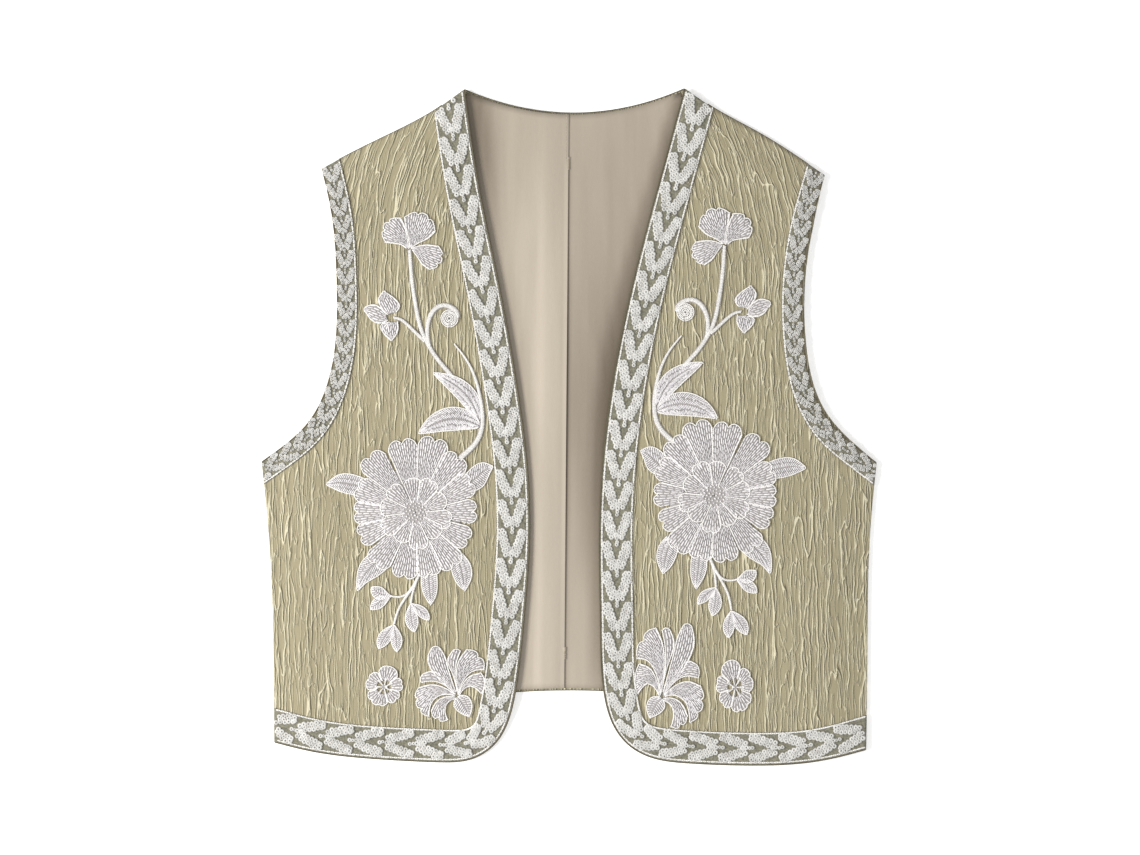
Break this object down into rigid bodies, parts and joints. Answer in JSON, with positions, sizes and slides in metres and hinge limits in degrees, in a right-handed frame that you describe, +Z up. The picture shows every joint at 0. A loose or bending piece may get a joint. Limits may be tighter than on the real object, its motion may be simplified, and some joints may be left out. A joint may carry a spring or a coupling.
{
  "type": "embroidered waistcoat",
  "caption": "Open-front cropped cloth waistcoat laid flat, lined back with a centre pleat, embroidered tape along its edges and raised white flowers on both fronts.",
  "frame": {"origin": "on the surface that the garment lies on, under the middle of its outline", "axes": "+Y from hem to neck, +Z up through the layers, -X towards the wearer's right front"},
  "size_m": [0.48, 0.5283, 0.0086],
  "materials": {
    "crinkle_cloth": "olive-khaki crinkled cotton, matt",
    "lining_satin": "taupe lining satin, soft sheen",
    "tape_ground": "grey-green woven tape under white looped yarn",
    "white_thread": "off-white stranded embroidery thread, slight sheen"
  },
  "bodies": {
    "root": {"back": "crinkle_cloth", "back_lining": "lining_satin", "right_front": "crinkle_cloth", "right_front_band": "tape_ground", "right_armhole_band": "tape_ground", "right_fan_flower": "white_thread", "right_trefoil": "white_thread", "right_palmette": "white_thread", "right_rosette": "white_thread", "right_bud_outer": "white_thread", "right_bud_inner": "white_thread", "right_bud_lower": "white_thread", "right_great_flower": "white_thread", "right_fan_stem": "white_thread", "right_trefoil_stem": "white_thread", "right_curl": "white_thread", "right_tendril": "white_thread", "right_sprig_stem": "white_thread", "right_sprig_outer_stem": "white_thread", "right_sprig_inner_stem": "white_thread", "right_upper_leaf": "white_thread", "right_lower_leaf": "white_thread", "right_drop_leaf": "white_thread", "left_front": "crinkle_cloth", "left_front_band": "tape_ground", "left_armhole_band": "tape_ground", "left_fan_flower": "white_thread", "left_trefoil": "white_thread", "left_palmette": "white_thread", "left_rosette": "white_thread", "left_bud_outer": "white_thread", "left_bud_inner": "white_thread", "left_bud_lower": "white_thread", "left_great_flower": "white_thread", "left_fan_stem": "white_thread", "left_trefoil_stem": "white_thread", "left_curl": "white_thread", "left_tendril": "white_thread", "left_sprig_stem": "white_thread", "left_sprig_outer_stem": "white_thread", "left_sprig_inner_stem": "white_thread", "left_upper_leaf": "white_thread", "left_lower_leaf": "white_thread", "left_drop_leaf": "white_thread"}
  },
  "joints": []
}
